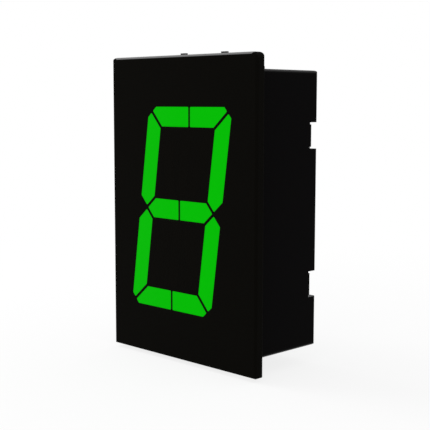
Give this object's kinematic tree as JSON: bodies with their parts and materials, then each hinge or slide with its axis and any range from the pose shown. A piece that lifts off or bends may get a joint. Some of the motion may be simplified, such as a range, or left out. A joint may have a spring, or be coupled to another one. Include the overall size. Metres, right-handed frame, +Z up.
{
  "type": "sixteen-segment display",
  "caption": "Panel-mounting display of one large slanted character in lit green segments, in a flat black bezel with a deep black box case behind it.",
  "frame": {"origin": "centre of the panel's front face plane, which the flange's rear face seats on", "axes": "+X to the right as seen from the front, +Y to the rear through the panel, +Z up the character"},
  "size_m": [0.065, 0.0313, 0.0982],
  "materials": {
    "bezel_plastic": "fine satin grain, near black",
    "case_plastic": "fine satin grain, near black",
    "lit_window": "diffusing resin, lit green from behind",
    "dark_window": "smoked resin, unlit",
    "reflector_plastic": "bright white, diffusing",
    "board_laminate": "glass laminate under green solder mask",
    "lamp_plastic": "clear moulded lens on a white base",
    "chip_body": "moulded black compound",
    "connector_plastic": "black moulded nylon",
    "pin_gold": "plated, bright",
    "standoff_brass": "turned",
    "screw_steel": "zinc plated",
    "ferrite": "sintered ferrite",
    "capacitor_can": "drawn can",
    "capacitor_ceramic": "fired ceramic"
  },
  "bodies": {
    "root": {"front_bezel": "bezel_plastic", "reflector": "reflector_plastic", "lamp_board": "board_laminate", "segment_lamps": "lamp_plastic", "segment_resistors": "chip_body", "link_header": "connector_plastic", "link_pins": "pin_gold", "link_socket": "connector_plastic", "board_standoffs": "standoff_brass", "driver_board": "board_laminate", "board_screws": "screw_steel", "segment_driver": "chip_body", "microcontroller": "chip_body", "voltage_regulator": "chip_body", "power_inductor": "ferrite", "input_capacitor": "capacitor_can", "output_capacitor": "capacitor_can", "ceramic_capacitors": "capacitor_ceramic", "control_resistors": "chip_body", "protection_diode": "chip_body", "input_header": "connector_plastic", "input_pins": "pin_gold", "output_header": "connector_plastic", "output_pins": "pin_gold", "case_shell": "case_plastic", "mounting_bracket_top": "case_plastic", "mounting_bracket_bottom": "case_plastic", "segment_a1": "lit_window", "segment_a2": "lit_window", "segment_b": "lit_window", "segment_c": "lit_window", "segment_d1": "lit_window", "segment_d2": "lit_window", "segment_e": "lit_window", "segment_f": "lit_window", "segment_g1": "lit_window", "segment_g2": "lit_window", "segment_h": "dark_window", "segment_i": "dark_window", "segment_j": "dark_window", "segment_k": "dark_window", "segment_l": "dark_window", "segment_m": "dark_window"}
  },
  "joints": []
}
